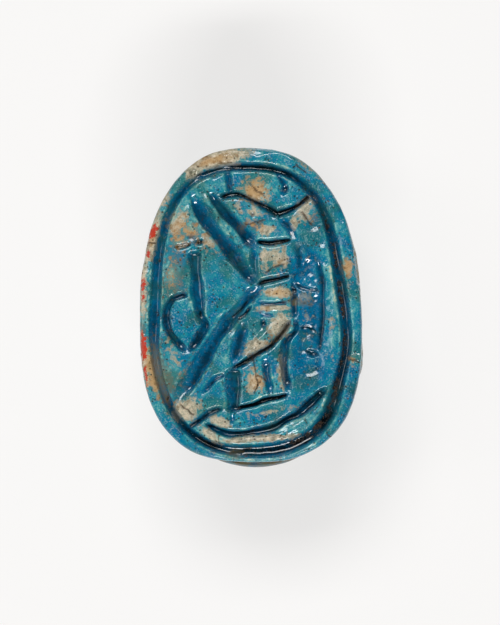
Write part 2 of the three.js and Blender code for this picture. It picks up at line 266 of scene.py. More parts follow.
def along_line(line, x, y):
    """Distance from the line (left of its way is positive), the share of its length
    at the nearest place, and its length."""
    step = np.diff(line, axis=0)
    length = np.hypot(step[:, 0], step[:, 1])
    run = np.concatenate([[0], np.cumsum(length)])
    nearest = np.full(x.shape, 1e9)
    side, share = np.zeros_like(x), np.zeros_like(x)
    for k in range(len(step)):
        px, py = x - line[k, 0], y - line[k, 1]
        way = step[k] / length[k]
        t = np.clip(px * way[0] + py * way[1], 0, length[k])
        far = np.hypot(px - t * way[0], py - t * way[1])
        near = far < nearest
        nearest = np.where(near, far, nearest)
        side = np.where(near, np.copysign(far, py * way[0] - px * way[1]), side)
        share = np.where(near, (run[k] + t) / run[-1], share)
    return side, share, run[-1]


def near_line(line, wide, x, y):
    """Indices of the points that the line's cut can touch."""
    lo, hi = line.min(0) - wide, line.max(0) + wide
    return np.flatnonzero((x > lo[0]) & (x < hi[0]) & (y > lo[1]) & (y < hi[1]))


def cut_reach(c, x, y, seed):
    """Distance across a cut as a share of its half-width, and its share of full depth."""
    side, share, length = along_line(spline(c["points"]), x, y)
    half = 0.5 * (c["first"] + (c["last"] - c["first"]) * share)
    half = half * (1 + 0.14 * np.sin(2.6 * share * length + seed))
    at_end = np.where(share < 0.5, c["ends"][0], c["ends"][1])
    from_end = np.minimum(share, 1 - share) * length / (2.2 * half)
    full = smooth(-0.25, 1.0, from_end / np.maximum(at_end, 0.05))
    return side / (half * (0.45 + 0.55 * full)), full


def border_line():
    """Middle of the border cut, anticlockwise, pulled in where the hand came short."""
    angle = np.linspace(0, 2 * math.pi, 241)
    x, y = egg_point(BORDER, angle)
    pull = 0.06 * np.sin(5 * angle + 0.6)
    for middle, spread, by in BORDER_PULLS:
        pull = pull + by * np.exp(-((2 * np.sin((angle - middle) / 2) / spread) ** 2))
    return np.stack([x - pull * np.cos(angle), y - pull * np.sin(angle)], 1)


def stray(x, y, seed):
    """How far a line cut by hand strays from its true place."""
    return 0.045 * face_ripple(x, y, 1.4, seed) + 0.012 * face_ripple(x, y, 0.5, seed + 1)


class Relief:
    """What the graver takes off the face, and how the glaze then lies: run together
    in a pool, dark in the cuts with painted shade, or worn off an edge with a painted
    highlight. Cuts that cross add their cubes, so that the deeper one wins softly."""

    def __init__(self, x, y):
        self.place = x, y
        self.x, self.y = x + stray(x, y, 31), y + stray(x, y, 33)
        self.patchy = 0.5 + 0.5 * face_ripple(x, y, 1.6, 35)
        self.cubes, self.pool, self.ink, self.edge = (np.zeros_like(x) for _ in range(4))

    def trough(self, where, reach, full, deep, wide, lean, ink):
        """Adds a trough: reach is 1 at its edge, and full is its share of the depth."""
        off = np.where(reach > lean, (reach - lean) / (1 - lean), (lean - reach) / (1 + lean))
        core = np.clip(1 - np.abs(off) ** 2.6, 0, 1)
        skirt = np.exp(-((off / 1.35) ** 3))
        self.cubes[where] += (deep * full * (0.78 * core + 0.22 * skirt)) ** 3
        self.pool[where] = np.maximum(self.pool[where], full * smooth(1.2, 0.1, off))
        on_walls = smooth(0.2, 0.5, off) if wide > WIDE_CUT else 1.0
        # Dark glaze and painted shade in the cut, kept to the walls of wide cuts.
        dark = ink * full * (0.6 + 0.4 * self.patchy[where])
        dark = dark * smooth(0.95, 0.35, off) * (0.3 + 0.7 * on_walls)
        self.ink[where] = np.maximum(self.ink[where], dark)
        # A pale worn line beside the cut, stronger along deep cuts, where it stands in as a painted
        # highlight.
        worn = np.exp(-(((off - 1.22) / 0.2) ** 2)) * full * min(1.4, deep / 0.28)
        self.edge[where] = np.maximum(self.edge[where], worn)

    def gouge(self, c, seed):
        wide = max(c["first"], c["last"])
        near = near_line(spline(c["points"]), 1.6 * wide, self.x, self.y)
        reach, full = cut_reach(c, self.x[near], self.y[near], seed)
        self.trough(near, reach, full, c["deep"], wide, c["lean"], c["ink"])

    def drill(self, hole):
        u, v = (self.x - hole["x"]) / hole["wide"], (self.y - hole["y"]) / hole["long"]
        self.trough(slice(None), 2 * np.hypot(u, v), 1.0, hole["deep"], hole["wide"], 0.0, hole["ink"])

    def border(self):
        """Cuts the border, and returns the distance inside it and the soil in it."""
        side, share, _ = along_line(border_line(), *self.place)
        turn = 2 * math.pi * share
        wider = 0.1 * np.cos(turn + 0.4) + 0.05 * np.sin(4 * turn)
        wider = wider + 0.03 * face_ripple(*self.place, 0.9, 36)
        wider = wider + 0.16 * smooth(0.8, 0.98, -np.cos(turn + 0.15))
        wider = wider + 0.16 * smooth(0.7, 0.95, np.cos(turn - 5.3))
        half = 0.5 * (BORDER_WIDE + wider)
        # Painted shade with dark glaze: the border is darker at the top, on the right and at the bottom.
        ink = 0.12 + 0.4 * smooth(0.2, 0.8, np.cos(turn)) + 0.55 * smooth(0.93, 0.99, np.sin(turn))
        ink = ink + 0.6 * smooth(0.6, 0.9, np.cos(turn - 4.8))
        self.trough(slice(None), side / half, 1.0, BORDER_DEEP, 0.4, 0.0, ink)
        dusty = 0.55 + 0.4 * smooth(0.1, 0.9, np.cos(turn + 0.2))
        return side, smooth(0.7, 0.25, np.abs(side / half - 0.25)) * dusty

    def sunk_strip(self):
        """The rough sunk strip behind the figure, with lumps left in it."""
        ragged = 0.25 * face_ripple(*self.place, 1.2, 39)
        strip = smooth(1.35, 0.45, np.hypot((self.x - 3.1) / 0.95, (self.y - 0.1) / 4.4) + ragged)
        lumps = 0.18 + 0.09 * face_ripple(*self.place, 1.3, 37) + 0.03 * face_ripple(*self.place, 0.5, 38)
        self.cubes += (strip * np.maximum(lumps, 0)) ** 3
        self.pool = np.maximum(self.pool, strip * np.clip(3.2 * lumps, 0.1, 0.75))

    def ridges(self):
        """Height of the low forms that were left standing."""
        raised = np.zeros_like(self.x)
        for seed, c in enumerate(RIDGES):
            near = near_line(spline(c["points"]), max(c["first"], c["last"]), self.x, self.y)
            reach, full = cut_reach(c, self.x[near], self.y[near], seed)
            raised[near] = np.maximum(raised[near], c["deep"] * full * smooth(1.3, 0.2, np.abs(reach)))
        return raised


def engrave(x, y):
    """Depth of the engraving in mm, and masks: pool, dark glaze with painted shade, edge and soil."""
    relief = Relief(x, y)
    for seed, c in enumerate(CUTS):
        relief.gouge(c, seed)
    for hole in PITS:
        relief.drill(hole)
    side, soil = relief.border()
    relief.sunk_strip()
    raised = relief.ridges()
    pool = relief.pool * (1 - 0.75 * smooth(0.05, 0.14, raised))
    inside = smooth(0.0, 0.6, side)
    swell = 0.035 * face_ripple(x, y, 2.6, 11) + 0.02 * face_ripple(x, y, 0.9, 12)
    depth = np.cbrt(relief.cubes) + swell + inside * (FIELD_SUNK - raised)
    # Pale edges: worn glaze, and along deep cuts partly a painted highlight.
    edge = np.maximum(relief.edge * (1 - smooth(0.3, 0.7, pool)), smooth(0.03, 0.1, inside * raised) * 0.5)
    edge = edge * (0.25 + 0.75 * relief.patchy)
    return depth, pool, relief.ink, edge, soil


# --- Form -------------------------------------------------------------------
def concentric(cells):
    """A square grid laid over a disc: share of the way out and angle of each point."""
    line = np.linspace(-1, 1, cells + 1)
    u, v = np.meshgrid(line, line, indexing="ij")
    u, v = u.ravel(), v.ravel()
    wide = np.abs(u) > np.abs(v)
    share = np.where(wide, u, v)
    safe_u, safe_v = np.where(u == 0, 1, u), np.where(v == 0, 1, v)
    angle = np.where(wide, math.pi / 4 * v / safe_u, math.pi / 2 - math.pi / 4 * u / safe_v)
    angle = np.where(share < 0, angle + math.pi, angle)
    return np.abs(share), np.mod(angle, 2 * math.pi)


def rim_order(cells):
    """Indices of the grid's outer points, anticlockwise."""
    n = cells + 1
    bottom = [i * n for i in range(cells)]
    right = [cells * n + j for j in range(cells)]
    top = [i * n + cells for i in range(cells, 0, -1)]
    left = [j for j in range(cells, 0, -1)]
    return np.array(bottom + right + top + left)


def ray_reach(origin_y, ux, uy, z, centre, radii):
    """How far out a level ray from the crown's axis leaves an upright ellipsoid."""
    k = 1 - ((z - centre[2]) / radii[2]) ** 2
    a, b = radii[0], radii[1]
    cx, cy = centre[0], centre[1] - origin_y
    qa = (ux / a) ** 2 + (uy / b) ** 2
    qb = ux * cx / a**2 + uy * cy / b**2
    qc = (cx / a) ** 2 + (cy / b) ** 2 - k
    inside = qb**2 - qa * qc
    return np.where((inside > 0) & (k > 0), (qb + np.sqrt(np.maximum(inside, 0))) / qa, 0)


def leg_paths():
    """Middle lines of the folded legs: angle round the body, height and inset."""
    folds = [
        [(-38, 4.0, 2.0), (-46, 4.9, 0.55), (-60, 5.75, 0.55), (-72, 5.95, 0.9)],
        [(-34, 5.95, 0.7), (-20, 5.35, 0.38), (-2, 4.4, 0.55), (6, 3.8, 1.6)],
        [(10, 3.9, 1.6), (22, 4.6, 0.5), (42, 5.5, 0.42), (64, 5.95, 0.7)],
    ]
    paths = []
    for mirrored in (False, True):
        for fold in folds:
            knots = np.array(fold, float)
            t = np.linspace(0, len(knots) - 1, 46)
            angle, z, inset = (np.interp(t, range(len(knots)), knots[:, k]) for k in range(3))
            blur = np.ones(9) / 9
            angle, z, inset = (
                np.convolve(np.pad(v, 4, mode="edge"), blur, mode="valid") for v in (angle, z, inset)
            )
            angle = np.radians(180 - angle if mirrored else angle)
            x, y = egg_point(BASE, angle, inset)
            paths.append(np.stack([x, y, z], 1))
    return paths


def body_reach(angle, z):
    """Distance from the crown's axis to the beetle's surface, by true angle and height."""
    around = np.linspace(0, 2 * math.pi, 1440, endpoint=False)

    def outline(inset):
        x, y = egg_point(BODY, around, inset)
        true = np.mod(np.arctan2(y - CROWN_Y, x), 2 * math.pi)
        order = np.argsort(true)
        return np.interp(angle, true[order], np.hypot(x, y - CROWN_Y)[order], period=2 * math.pi)

    def rise(share):
        return DOME_START * (1 - (1 - share**DOME_ROUND) ** (1 / DOME_ROUND))

    lift = np.minimum(z + rise(FLAT_SPOT), DOME_START)
    share = (1 - (1 - lift / DOME_START) ** DOME_ROUND) ** (1 / DOME_ROUND)
    flank = smooth(DOME_START - 0.25, PLATE_UNDER - 0.4, z)
    inset_r = outline(DOME_INSET) * (1 - flank) + outline(FLANK_INSET) * flank
    reach = np.where(z < DOME_START, outline(DOME_INSET) * share, inset_r)
    under_groove = 0.15 * smooth(PLATE_UNDER - 0.4, PLATE_UNDER - 0.1, z)
    return reach - under_groove


def head_forms():
    """Shovel, head and two eyes, each as the middle and radii of an ellipsoid."""
    shovel = ((0.15, HEAD_TIP_Y + SHOVEL_REACH, 5.75), (3.05, SHOVEL_REACH, 0.72))
    head = ((0, -6.35, 4.85), (2.05, 1.6, 1.55))
    eyes = [((side * 1.95, -6.35, 5.0), (0.6, 0.8, 0.75)) for side in (-1, 1)]
    return [shovel, head] + eyes


def shovel_nicks(ux, uy, z):
    """Depth of the three nicks in the shovel's front."""
    depth = np.zeros_like(z)
    for x in (-0.9, 0, 0.9):
        across = ux / -uy * 8.7 - x - 0.15
        nick = np.exp(-((across / 0.16) ** 2)) * (uy < -0.9)
        depth = depth + 0.25 * nick * smooth(4.9, 5.1, z) * smooth(5.65, 5.4, z)
    return depth


def beetle_reach(angle, z):
    """The beetle's body with its head, shovel, eyes and legs standing out of it."""
    ux, uy = np.cos(angle), np.sin(angle)
    reach = body_reach(angle, z)
    for centre, radii in head_forms():
        reach = np.maximum(reach, ray_reach(CROWN_Y, ux, uy, z, centre, radii))
    for path in leg_paths():
        for centre in path[::2]:
            reach = np.maximum(reach, ray_reach(CROWN_Y, ux, uy, z, centre, [LEG_RADIUS] * 3))
    return reach - shovel_nicks(ux, uy, z)


def soften(reach):
    """Blurs the reach a little, round the body and then up and down."""
    weights = np.array([1, 2, 3, 2, 1]) / 9
    rows, columns = reach.shape
    padded = np.concatenate([reach[-2:], reach, reach[:2]], 0)
    reach = sum(weight * padded[k : k + rows] for k, weight in enumerate(weights))
    padded = np.pad(reach, ((0, 0), (2, 2)), mode="edge")
    return sum(weight * padded[:, k : k + columns] for k, weight in enumerate(weights))


def hidden_columns(angle):
    """Points from under the plate to the crown, evenly spaced along each column."""
    top = PLATE_UNDER - 0.1
    heights = top - top * np.linspace(0, 1, 190)
    grid_angle = np.repeat(angle[:, None], len(heights), 1)
    grid_z = np.repeat(heights[None, :], len(angle), 0)
    reach = soften(beetle_reach(grid_angle, grid_z))
    flat = np.concatenate([reach, np.zeros((len(angle), 1))], 1)
    z = np.concatenate([grid_z, np.zeros((len(angle), 1))], 1)
    step = np.hypot(np.diff(flat, axis=1), np.diff(z, axis=1))
    run = np.concatenate([np.zeros((len(angle), 1)), np.cumsum(step, 1)], 1)
    levels = FLANK_LEVELS + CROWN_LEVELS
    out_r, out_z = np.zeros((len(angle), levels)), np.zeros((len(angle), levels))
    for i in range(len(angle)):
        want = np.linspace(0, run[i, -1], levels + 1)[:levels]
        out_r[i] = np.interp(want, run[i], flat[i])
        out_z[i] = np.interp(want, run[i], z[i])
    return out_r, out_z


def plate_profile():
    """Inset and height down the plate's edge: its round, its side and its underside."""
    drop = RIM_ROUND * 1.2
    side_top, side_foot = HEIGHT - drop, PLATE_UNDER + 0.12
    profile = []
    for k in range(1, RIM_RINGS + 1):
        bend = math.pi / 2 * k / RIM_RINGS
        profile.append((RIM_ROUND * (1 - math.sin(bend)), HEIGHT - drop * (1 - math.cos(bend))))
    for k in range(1, SIDE_RINGS + 1):
        profile.append((0.0, side_top + (side_foot - side_top) * k / SIDE_RINGS))
    return profile + [(0.05, PLATE_UNDER + 0.03), (0.2, PLATE_UNDER - 0.02), (0.4, PLATE_UNDER - 0.06)]


def scarab_skin():
    """Vertices and faces of the whole amulet: the engraved face as a square grid laid
    over the egg, then rings round the rim, the flank and the back."""
    share, angle = concentric(FACE_CELLS)
    x, y = egg_point(BASE, angle, RIM_ROUND)
    x = BASE["shift"] + (x - BASE["shift"]) * share
    y = WIDEST_Y + (y - WIDEST_Y) * share
    points = [np.stack([x, y, np.full_like(x, HEIGHT)], 1)]
    n = FACE_CELLS + 1
    cell = (np.arange(FACE_CELLS)[:, None] * n + np.arange(FACE_CELLS)[None, :]).ravel()
    quads = [np.stack([cell, cell + n, cell + n + 1, cell + 1], 1)]
    threes = []
    ring = rim_order(FACE_CELLS)
    ring_angle = angle[ring]
    total = len(points[0])

    def add_ring(px, py, pz):
        nonlocal total
        points.append(np.stack([px, py, pz], 1))
        first = total
        total += len(px)
        return np.arange(first, first + len(px))

    def join(upper, lower):
        up_next, low_next = np.roll(upper, -1), np.roll(lower, -1)
        if len(upper) == len(lower):
            quads.append(np.stack([upper, lower, low_next, up_next], 1))
            return
        a, b, c = upper[0::2], upper[1::2], np.roll(upper[0::2], -1)
        threes.append(np.stack([a, lower, b], 1))
        threes.append(np.stack([b, lower, low_next], 1))
        threes.append(np.stack([b, low_next, c], 1))

    for inset, z in plate_profile():
        px, py = egg_point(BASE, ring_angle, inset)
        new = add_ring(px, py, np.full_like(px, z))
        join(ring, new)
        ring = new
    px, py = egg_point(BASE, ring_angle[::2], FLANK_INSET + 0.2)
    true = np.arctan2(py - CROWN_Y, px)
    reach, height = hidden_columns(true)
    for k in range(FLANK_LEVELS + CROWN_LEVELS):
        rx, ry = reach[:, k] * np.cos(true), CROWN_Y + reach[:, k] * np.sin(true)
        rz = height[:, k]
        if k >= FLANK_LEVELS:
            rx, ry, rz = rx[::2], ry[::2], rz[::2]
        new = add_ring(rx, ry, rz)
        join(ring, new)
        ring = new
    crown = add_ring(np.zeros(1), np.full(1, CROWN_Y), np.zeros(1))
    threes.append(np.stack([ring, np.full_like(ring, crown[0]), np.roll(ring, -1)], 1))
    return np.concatenate(points), np.concatenate(quads), np.concatenate(threes)


def carve_back(p):
    """Two lines of the neck shield, the parting of the wing cases and the shoulder
    nicks, as depths."""
    x, y, z = p.T
    shield = y - SHIELD_Y - 0.02 * x * x
    parting = np.where(y > SHIELD_Y, x, np.inf)
    shoulder = np.hypot((np.abs(x) - 5.0) / 0.5, (y - SHIELD_Y) / 0.42)
    shoulder = np.hypot(shoulder, (z - 3.2) / 1.2)
    marks = [  # distance as a share of the mark's half-width, and its depth
        (shield / 0.2, 0.17),
        ((shield - 0.42) / 0.14, 0.08),
        (parting / 0.17, 0.13),
        (shoulder, 0.3),
    ]
    depth = np.zeros_like(x)
    for off, deep in marks:
        depth = np.maximum(depth, deep * np.clip(1 - off**2, 0, 1))
    return depth * (z < DOME_START + 0.3)


CHIPS = [  # places on the rim where the edge has come away: middle, reach, depth
    ((-2.2, 7.75, 7.4), (1.6, 0.75, 0.3), 0.13),
    ((-3.0, 7.3, 7.4), (0.35, 0.25, 0.3), 0.2),
    ((-5.85, 3.2, 7.3), (0.4, 1.6, 0.35), 0.08),
    ((-5.9, -2.6, 7.3), (0.35, 1.5, 0.35), 0.08),
    ((5.9, 2.2, 7.2), (0.5, 0.9, 0.6), 0.12),
    ((5.6, -2.7, 7.4), (0.3, 0.3, 0.3), 0.08),
    ((0.4, 8.5, 7.3), (1.2, 0.3, 0.3), 0.07),
    ((4.6, 5.0, 7.4), (0.5, 0.6, 0.3), 0.05),
    ((-0.9, -8.0, 7.4), (0.55, 0.25, 0.3), 0.1),
]


def weathering(p):
    """Chips and slight unevenness, as depths below the perfect surface."""
    x, y, z = p.T
    depth = 0.02 * ripple(x, y, z, 3.2, 3) + 0.012 * ripple(x, y, z, 1.1, 4)
    rough = 0.22 * ripple(x, y, z, 0.7, 5)
    for centre, radii, deep in CHIPS:
        far = np.sqrt(sum(((c - m) / r) ** 2 for c, m, r in zip((x, y, z), centre, radii)))
        depth = depth + deep * smooth(1.0, 0.7, far + rough)
    return depth


def make_scarab():
    """The amulet as one closed mesh, with its engraving, back lines and wear."""
    points, quads, threes = scarab_skin()
    x, y, z = points.T
    face = z > HEIGHT - 1e-6
    depth = np.zeros(len(points))
    depth[face] = engrave(x[face], y[face])[0]
    mesh = bpy.data.meshes.new("scarab_glazed")
    loops = np.concatenate([quads.ravel(), threes.ravel()])
    starts = np.concatenate([np.arange(len(quads)) * 4, 4 * len(quads) + np.arange(len(threes)) * 3])
    mesh.vertices.add(len(points))
    mesh.vertices.foreach_set("co", points.astype(np.float32).ravel())
    mesh.loops.add(len(loops))
    mesh.loops.foreach_set("vertex_index", loops.astype(np.int32))
    mesh.polygons.add(len(starts))
    mesh.polygons.foreach_set("loop_start", starts.astype(np.int32))
    mesh.update(calc_edges=True)
    mesh.validate()
    normals = np.zeros(3 * len(points), np.float32)
    mesh.vertex_normals.foreach_get("vector", normals)
    normals = normals.reshape(-1, 3).astype(float)
    worn = weathering(points) + carve_back(points)
    resting = smooth(0.0, 0.5, z)
    moved = points - normals * (worn * resting)[:, None]
    moved[:, 2] -= depth
    mesh.vertices.foreach_set("co", (moved * metre_per_mm).astype(np.float32).ravel())
    mesh.update()
    scarab = bpy.data.objects.new("scarab_glazed", mesh)
    bpy.context.scene.collection.objects.link(scarab)
    return scarab


def drill_string_hole(scarab):
    bpy.ops.mesh.primitive_cylinder_add(vertices=48, radius=STRING_HOLE / 2, depth=30)
    drill = bpy.context.object
    x, y, z = np.array([v.co[:] for v in drill.data.vertices]).T
    laid_down = np.stack([x, -z, y + STRING_HOLE_Z], 1) * metre_per_mm
    drill.data.vertices.foreach_set("co", laid_down.astype(np.float32).ravel())
    bore = scarab.modifiers.new("string hole", "BOOLEAN")
    bore.operation = "DIFFERENCE"
    bore.solver = "MANIFOLD"
    bore.object = drill
    apply_modifiers(scarab)
    bpy.data.objects.remove(drill)


def apply_modifiers(obj):
    evaluated = obj.evaluated_get(bpy.context.evaluated_depsgraph_get())
    mesh = bpy.data.meshes.new_from_object(evaluated)
    obj.modifiers.clear()
    obj.data = mesh


# --- Where the glaze is thin, lost or stained --------------------------------
CARVED_MASKS = ("pool", "ink", "edge", "soil")
BARE_STONE_AND_SHEEN = [  # pale stone shows on the high places, and one patch is a painted sheen: middle, reach, turn in degrees, strength
    ((-1.9, 8.0), (1.75, 0.5), 12, 1.5),
    ((-3.0, 7.45), (0.7, 0.45), 40, 1.3),
    ((-5.0, 5.6), (0.35, 1.3), -35, 0.9),
    ((-5.35, 3.7), (0.3, 1.5), -16, 1.4),
    ((-5.85, 1.9), (0.25, 0.8), -5, 1.1),
    ((-5.85, 0.4), (0.25, 1.3), 0, 1.0),
    ((-5.75, -2.8), (0.3, 1.6), 8, 1.15),
    ((-5.3, -3.4), (0.35, 1.6), 12, 1.1),
    ((-3.9, 3.6), (0.6, 0.6), 0, 0.8),
    ((-4.0, 4.6), (0.75, 0.95), -20, 0.9),
    ((0.2, 6.3), (0.9, 0.75), 0, 1.0),
    ((2.9, 5.2), (0.5, 0.75), -20, 1.05),
    ((2.3, 4.55), (0.25, 0.6), -10, 1.0),
    ((0.15, 5.15), (0.55, 0.45), 0, 0.9),
    ((0.8, 4.2), (0.55, 0.35), 10, 1.0),
    ((0.75, 2.7), (0.3, 0.75), 5, 0.9),
    ((1.75, 2.75), (0.3, 0.7), -5, 0.9),
    ((1.3, 2.7), (0.7, 0.8), 0, 0.85),
    ((-4.3, 1.9), (0.4, 0.9), 0, 0.75),
    ((2.95, 0.6), (0.4, 0.35), 0, 0.8),
    ((3.05, -0.6), (0.35, 0.3), 0, 0.6),
    ((3.05, -1.7), (0.35, 0.35), 0, 0.6),
    ((1.4, 0.8), (0.8, 0.3), 0, 1.35),
    ((1.2, 0.0), (0.85, 0.2), 0, 1.25),
    ((1.55, -0.9), (0.6, 0.75), -20, 1.2),
    ((0.2, -2.1), (0.9, 0.5), 28, 0.95),
    ((-3.3, 4.2), (0.7, 0.5), 0, 0.9),
    ((0.2, -3.9), (0.55, 0.9), 0, 0.95),
    ((1.65, -3.3), (0.22, 1.2), 0, 1.0),
    ((-3.5, -5.5), (0.9, 0.6), 35, 1.2),
    ((-1.7, -6.15), (0.6, 0.3), -15, 1.0),
    ((0.3, -7.05), (2.6, 0.22), 3, 1.05),
    ((2.4, -6.2), (1.0, 0.22), 38, 0.5),
    ((-2.2, -6.85), (0.8, 0.25), -35, 1.1),
    ((4.35, -0.9), (0.25, 0.7), 0, 0.45),
    ((4.4, -2.6), (0.2, 0.5), 0, 0.5),
    ((5.2, 2.2), (0.35, 0.55), 0, 0.9),
    ((5.5, -2.8), (0.3, 0.45), 0, 0.8),
    ((5.85, 2.7), (0.24, 1.8), 8, 1.35),
    # a painted sheen along the upper right rim, coloured like bare stone
    ((3.4, 7.3), (1.6, 0.3), -38, 0.45),
    ((-4.2, -2.6), (0.5, 1.6), 10, 0.6),
    ((-2.3, 3.6), (1.0, 0.6), -35, 0.6),
    ((3.1, 1.1), (0.4, 0.5), 0, 0.55),
    ((-0.2, 4.9), (0.25, 1.9), 42, 0.55),
    ((1.0, -5.6), (1.9, 0.2), 12, 0.6),
]
OCHRE = [  # brown and yellow stains
    ((0.2, 6.4), (0.8, 0.7), 0, 1.1),
    ((-2.0, 8.0), (1.5, 0.4), 12, 0.9),
    ((-4.0, 4.4), (0.7, 0.9), 0, 0.7),
    ((1.4, 0.8), (0.75, 0.3), 0, 1.0),
    ((0.3, -3.8), (0.6, 0.7), 0, 0.8),
    ((1.2, -1.7), (0.5, 0.35), 20, 0.8),
    ((-3.7, -4.3), (0.8, 1.6), 0, 0.5),
    ((5.1, 2.2), (0.4, 0.6), 0, 1.1),
    ((5.5, -2.8), (0.35, 0.35), 0, 1.0),
    ((-0.9, -7.9), (0.6, 0.3), 0, 1.1),
    ((3.3, 4.9), (0.3, 0.6), 40, 0.8),
    ((-2.3, 3.2), (1.2, 0.5), -30, 0.5),
    ((-4.2, 1.9), (0.7, 1.3), 0, 1.0),
    ((-5.4, 3.6), (0.3, 0.6), -16, 0.8),
    ((-3.2, 3.9), (0.6, 0.5), 0, 0.9),
    ((1.3, 2.3), (0.6, 0.6), 0, 0.6),
    ((5.9, 2.7), (0.3, 1.8), 8, 1.1),
    ((0.9, 0.0), (0.9, 0.3), 0, 0.6),
    ((-5.1, -3.4), (0.6, 1.8), 12, 1.4),
    ((-4.4, -3.9), (0.35, 1.2), 12, 1.0),
    ((-3.3, 4.2), (0.8, 0.6), 0, 1.2),
    ((-0.45, 4.4), (0.3, 0.5), -30, 0.9),
    ((2.6, 0.25), (1.0, 0.2), -5, 1.1),
    ((-5.85, -1.2), (0.2, 1.0), 0, 1.1),
    ((-3.9, 3.6), (0.6, 0.6), 0, 1.2),
    ((0.35, 4.45), (0.5, 0.35), 15, 1.0),
]
DEEP_GLAZE_AND_SHADE = [  # places where the glaze is thick and vivid, and one painted shade
    # painted shade along the lower right side
    ((5.5, -4.6), (0.9, 2.6), 25, 1.0),
    ((5.4, 4.6), (0.5, 2.0), -20, 0.5),
    ((-0.6, -1.6), (1.1, 2.6), 15, 0.35),
    ((3.6, -1.8), (0.9, 1.6), 0, 0.6),
    ((-1.2, -4.4), (1.0, 1.4), 0, 0.5),
    ((-2.6, -3.0), (0.8, 2.0), 35, 0.6),
    ((0.0, 5.1), (1.0, 0.7), -30, 0.55),
    ((2.9, -3.6), (1.2, 1.6), 0, 0.8),
    ((3.2, 3.0), (1.3, 1.8), 0, 0.35),
    ((0.6, -5.9), (1.8, 0.4), 10, 0.6),
    ((-4.2, -6.6), (1.4, 0.6), -45, 0.5),
    ((-0.3, 0.9), (0.8, 1.0), 0, 0.25),
    ((2.0, 4.4), (0.6, 0.8), 0, 0.6),
]
RED = [  # smears of old paint along the left edge
    ((-5.3, 4.1), (0.22, 0.5), -25, 1.3),
    ((-5.6, 2.9), (0.14, 0.22), 0, 1.2),
    ((-5.85, 1.1), (0.14, 0.8), 0, 1.15),
    ((-5.82, -2.1), (0.2, 0.85), 5, 1.35),
    ((-5.68, -3.6), (0.12, 0.7), 10, 1.0),
]


CRACKS = [  # fine brown cracks in the glaze
    [(-0.4, 4.45), (0.2, 4.62), (0.75, 4.72)],
    [(2.7, 5.2), (2.95, 4.85), (3.25, 4.5)],
    [(0.75, 1.8), (1.2, 2.15), (1.75, 2.35)],
    [(-3.85, -5.25), (-3.5, -5.45), (-3.1, -5.75)],
    [(2.85, -5.95), (3.0, -6.2)],
    [(-1.75, -6.85), (-1.75, -7.3)],
    [(2.4, 7.8), (2.7, 7.45), (2.95, 7.3)],
    [(4.0, -6.7), (4.35, -6.9)],
    [(-5.6, 3.5), (-5.2, 3.52)],
    [(5.3, -2.75), (5.8, -2.9)],
    [(0.0, -2.4), (0.35, -4.0), (0.2, -4.6)],
    [(-0.1, 6.8), (0.3, 6.35), (0.75, 6.0)],
    [(0.3, -3.6), (0.8, -3.9)],
]


def crack_mask(x, y):
    """1 along the cracks, falling off within a hair's breadth."""
    total = np.zeros_like(x)
    for points in CRACKS:
        line = spline(points)
        near = near_line(line, 0.3, x, y)
        side, share, _ = along_line(line, x[near], y[near])
        side = side + 0.05 * face_ripple(x[near], y[near], 0.5, 41)
        total[near] = np.maximum(total[near], smooth(0.06, 0.02, np.abs(side)) * smooth(0, 0.1, share))
    return total


def patches(places, x, y):
    """Largest strength at each point: full at a patch's middle, and gone a little past
    its reach."""
    total = np.zeros_like(x)
    for (cx, cy), (rx, ry), turn, strength in places:
        a = math.radians(turn)
        u = ((x - cx) * math.cos(a) + (y - cy) * math.sin(a)) / rx
        v = (-(x - cx) * math.sin(a) + (y - cy) * math.cos(a)) / ry
        total = np.maximum(total, strength * np.clip(1 - 0.62 * np.hypot(u, v), 0, 1))
    return total


def face_masks(x, y):
    """Strength of each kind of wear, stain, glaze and painted shade on the engraved face."""
    _, pool, ink, edge, soil = engrave(x, y)
    masks = dict(pool=pool, ink=ink, edge=edge, soil=soil, crack=crack_mask(x, y))
    for name, places in (("bare", BARE_STONE_AND_SHEEN), ("ochre", OCHRE), ("red", RED), ("deep", DEEP_GLAZE_AND_SHADE)):
        masks[name] = patches(places, x, y)
    return masks


def past_rim(x, y):
    """How far the places lie outside the base's outline, measured from its middle."""
    rim_x, rim_y = egg_point(BASE, np.arctan2(y - WIDEST_Y, x))
    return np.hypot(x, y - WIDEST_Y) - np.hypot(rim_x, rim_y - WIDEST_Y)


def back_masks(x, y, z):
    """The same on the sides and the back: dark in the carved lines, a painted shadow on
    the shovel beside the rim, dirty on the shovel, and worn and stained on the round parts."""
    lines = smooth(0.02, 0.12, carve_back(np.stack([x, y, z], 1)))
    shovel = smooth(-6.9, -7.3, y)
    beyond = past_rim(x, y)
    rounds = (1 - shovel) * (1 - lines)
    ochre = shovel * (0.75 + 0.3 * ripple(x, y, z, 0.9, 23))
    soil = 0.8 * lines * smooth(0.1, 0.6, z) + shovel * (0.3 + 0.3 * ripple(x, y, z, 0.7, 24))
    return dict(
        pool=np.maximum(0.9 * lines, 0.35 * smooth(5.2, 6.2, z)),
        # Painted shadow on the shovel, in the gap under the plate's edge.
        ink=shovel * smooth(0.16, 0.04, beyond) * smooth(-0.3, -0.1, beyond),
        soil=soil,
        bare=rounds * np.clip(0.35 + 0.35 * ripple(x, y, z, 5.0, 21), 0, 0.75),
        ochre=ochre + rounds * np.clip(0.2 + 0.4 * ripple(x, y, z, 3.0, 22), 0, 0.8),
    )


